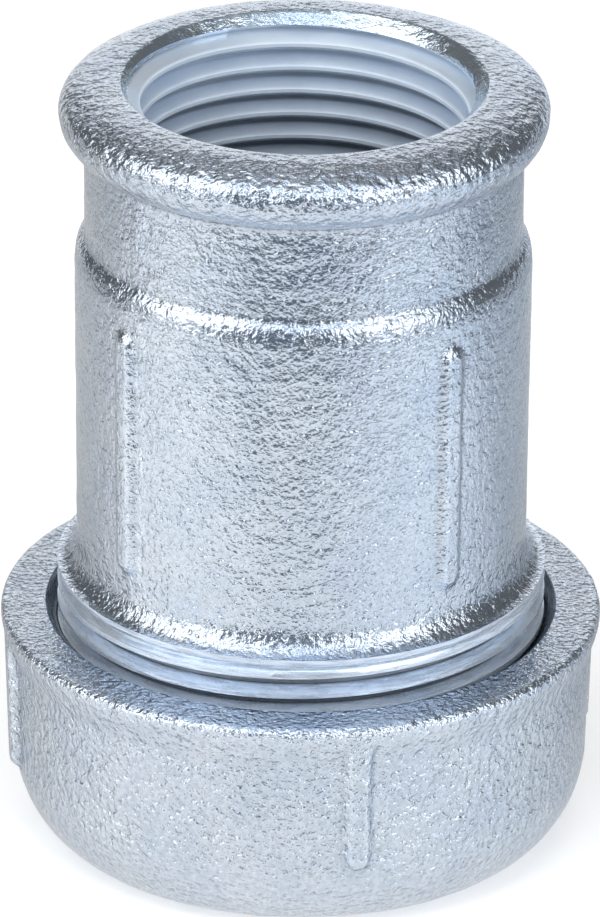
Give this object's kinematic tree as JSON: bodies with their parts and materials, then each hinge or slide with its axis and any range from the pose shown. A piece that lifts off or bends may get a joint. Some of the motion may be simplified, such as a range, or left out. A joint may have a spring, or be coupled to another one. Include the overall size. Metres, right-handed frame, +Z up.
{
  "type": "hydraulic pipe connector",
  "caption": "Cast clamp coupling for steel pipe, with a female pipe thread in its collar and a round nut that squeezes a split grip ring and a rubber seal round a plain pipe end.",
  "frame": {"origin": "centre of the nut's flat lower face, on the pipe's axis", "axes": "+Z up the pipe's axis towards the collar; the front of the casting, midway between two of its ribs, looks towards -Y"},
  "size_m": [0.0562, 0.0562, 0.0753],
  "materials": {
    "zinc_coated_casting": "zinc-coated rough casting, with the threads and the collar's mouth turned smooth",
    "zinc_coated_steel": "zinc-coated turned steel",
    "seal_rubber": "matt black moulded rubber"
  },
  "bodies": {
    "fitting": {"fitting_body": "zinc_coated_casting"},
    "clamp_rings": {"grip_ring": "zinc_coated_steel", "thrust_washer": "zinc_coated_steel", "seal_ring": "seal_rubber"},
    "nut": {"clamping_nut": "zinc_coated_casting"}
  },
  "joints": [
    {"name": "nut_travel", "type": "slide", "parent": "fitting", "child": "clamp_rings", "axis": [0, 0, 1], "range_m": [-0.00701, 0]},
    {"name": "nut_turn", "type": "hinge", "parent": "clamp_rings", "child": "nut", "pos_m": [0, 0, 0], "axis": [0, 0, 1], "range_deg": [-1260, 0]}
  ],
  "couplings": [
    {"joint": "nut_travel", "follows": "nut_turn", "m_per_rad": 0.00031831}
  ]
}
